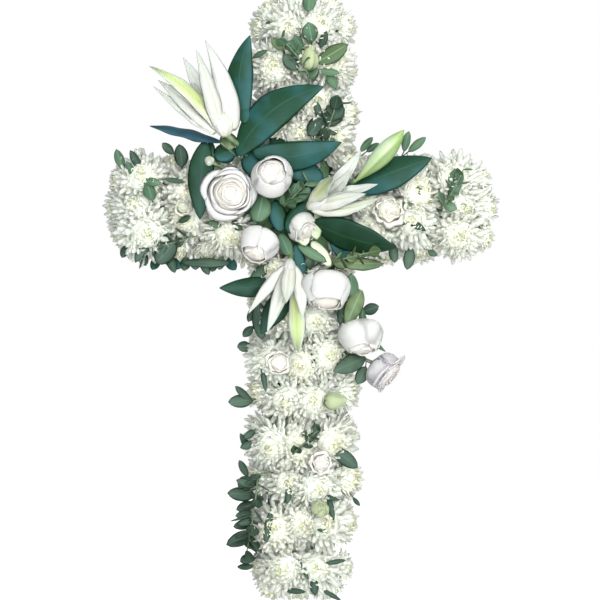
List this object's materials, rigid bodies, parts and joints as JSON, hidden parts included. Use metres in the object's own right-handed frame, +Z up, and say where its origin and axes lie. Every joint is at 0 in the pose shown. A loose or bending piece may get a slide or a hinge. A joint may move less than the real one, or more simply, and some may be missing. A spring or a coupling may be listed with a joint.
{
  "type": "floral cross",
  "caption": "Funeral cross of fresh white chrysanthemums on foam, with a spray of white roses, lilies and dark leaves over the crossing.",
  "frame": {"origin": "on the tray's flat back face, behind the middle of the crossing", "axes": "+Z up the cross, +X to the viewer's right, the flowers face -Y and the tray's back faces +Y"},
  "size_m": [0.5841, 0.196, 0.9106],
  "materials": {
    "tray_plastic": "moulded, dull green",
    "foam_green": "open-cell foam, wet",
    "mum_petals": "fresh petals, soft and slightly translucent",
    "rose_petals": "fresh petals, velvety",
    "lily_petals": "fresh petals, waxy with green ribs",
    "bud_green": "closed bud, waxy pale green",
    "dark_leaf": "glossy evergreen leaf with a pale rib",
    "sprig_leaf": "small satin leaves, grey-green"
  },
  "bodies": {
    "root": {"tray": "tray_plastic", "foam": "foam_green", "rose_left": "rose_petals", "rose_upper": "rose_petals", "rose_middle": "rose_petals", "rose_lower": "rose_petals", "rose_right": "rose_petals", "rose_tip": "rose_petals", "lily_upper_left": "lily_petals", "lily_centre": "lily_petals", "lily_lower": "lily_petals", "lily_bud": "bud_green", "bud_top": "rose_petals", "small_rose_left": "rose_petals", "small_rose_right": "rose_petals", "small_rose_shaft": "rose_petals", "bud_shaft": "rose_petals", "small_rose_low": "rose_petals", "leaf_upper": "dark_leaf", "leaf_across": "dark_leaf", "leaf_below_lily": "dark_leaf", "leaf_right": "dark_leaf", "leaf_far_left": "dark_leaf", "leaf_hanging": "dark_leaf", "leaf_top_left": "dark_leaf", "leaf_lower_left": "dark_leaf", "leaf_under_lily": "dark_leaf", "leaf_round_rose": "dark_leaf", "leaf_under_rose": "dark_leaf", "leaf_beside_rose": "dark_leaf", "sprig_top": "sprig_leaf", "sprig_upper": "sprig_leaf", "sprig_centre": "sprig_leaf", "sprig_centre_right": "sprig_leaf", "sprig_left_under": "sprig_leaf", "sprig_right_tip": "sprig_leaf", "sprig_shaft_left": "sprig_leaf", "sprig_shaft": "sprig_leaf", "mums_top_1": "mum_petals", "mums_top_2": "mum_petals", "mums_top_edge_1": "mum_petals", "mums_top_edge_2": "mum_petals", "mums_left_1": "mum_petals", "mums_left_edge_1": "mum_petals", "mums_left_edge_2": "mum_petals", "mums_right_1": "mum_petals", "mums_right_2": "mum_petals", "mums_right_edge_1": "mum_petals", "mums_right_edge_2": "mum_petals", "mums_lower_1": "mum_petals", "mums_lower_2": "mum_petals", "mums_lower_3": "mum_petals", "mums_lower_4": "mum_petals", "mums_lower_edge_1": "mum_petals", "mums_lower_edge_2": "mum_petals", "mums_lower_edge_3": "mum_petals", "mums_lower_edge_4": "mum_petals"}
  },
  "joints": []
}
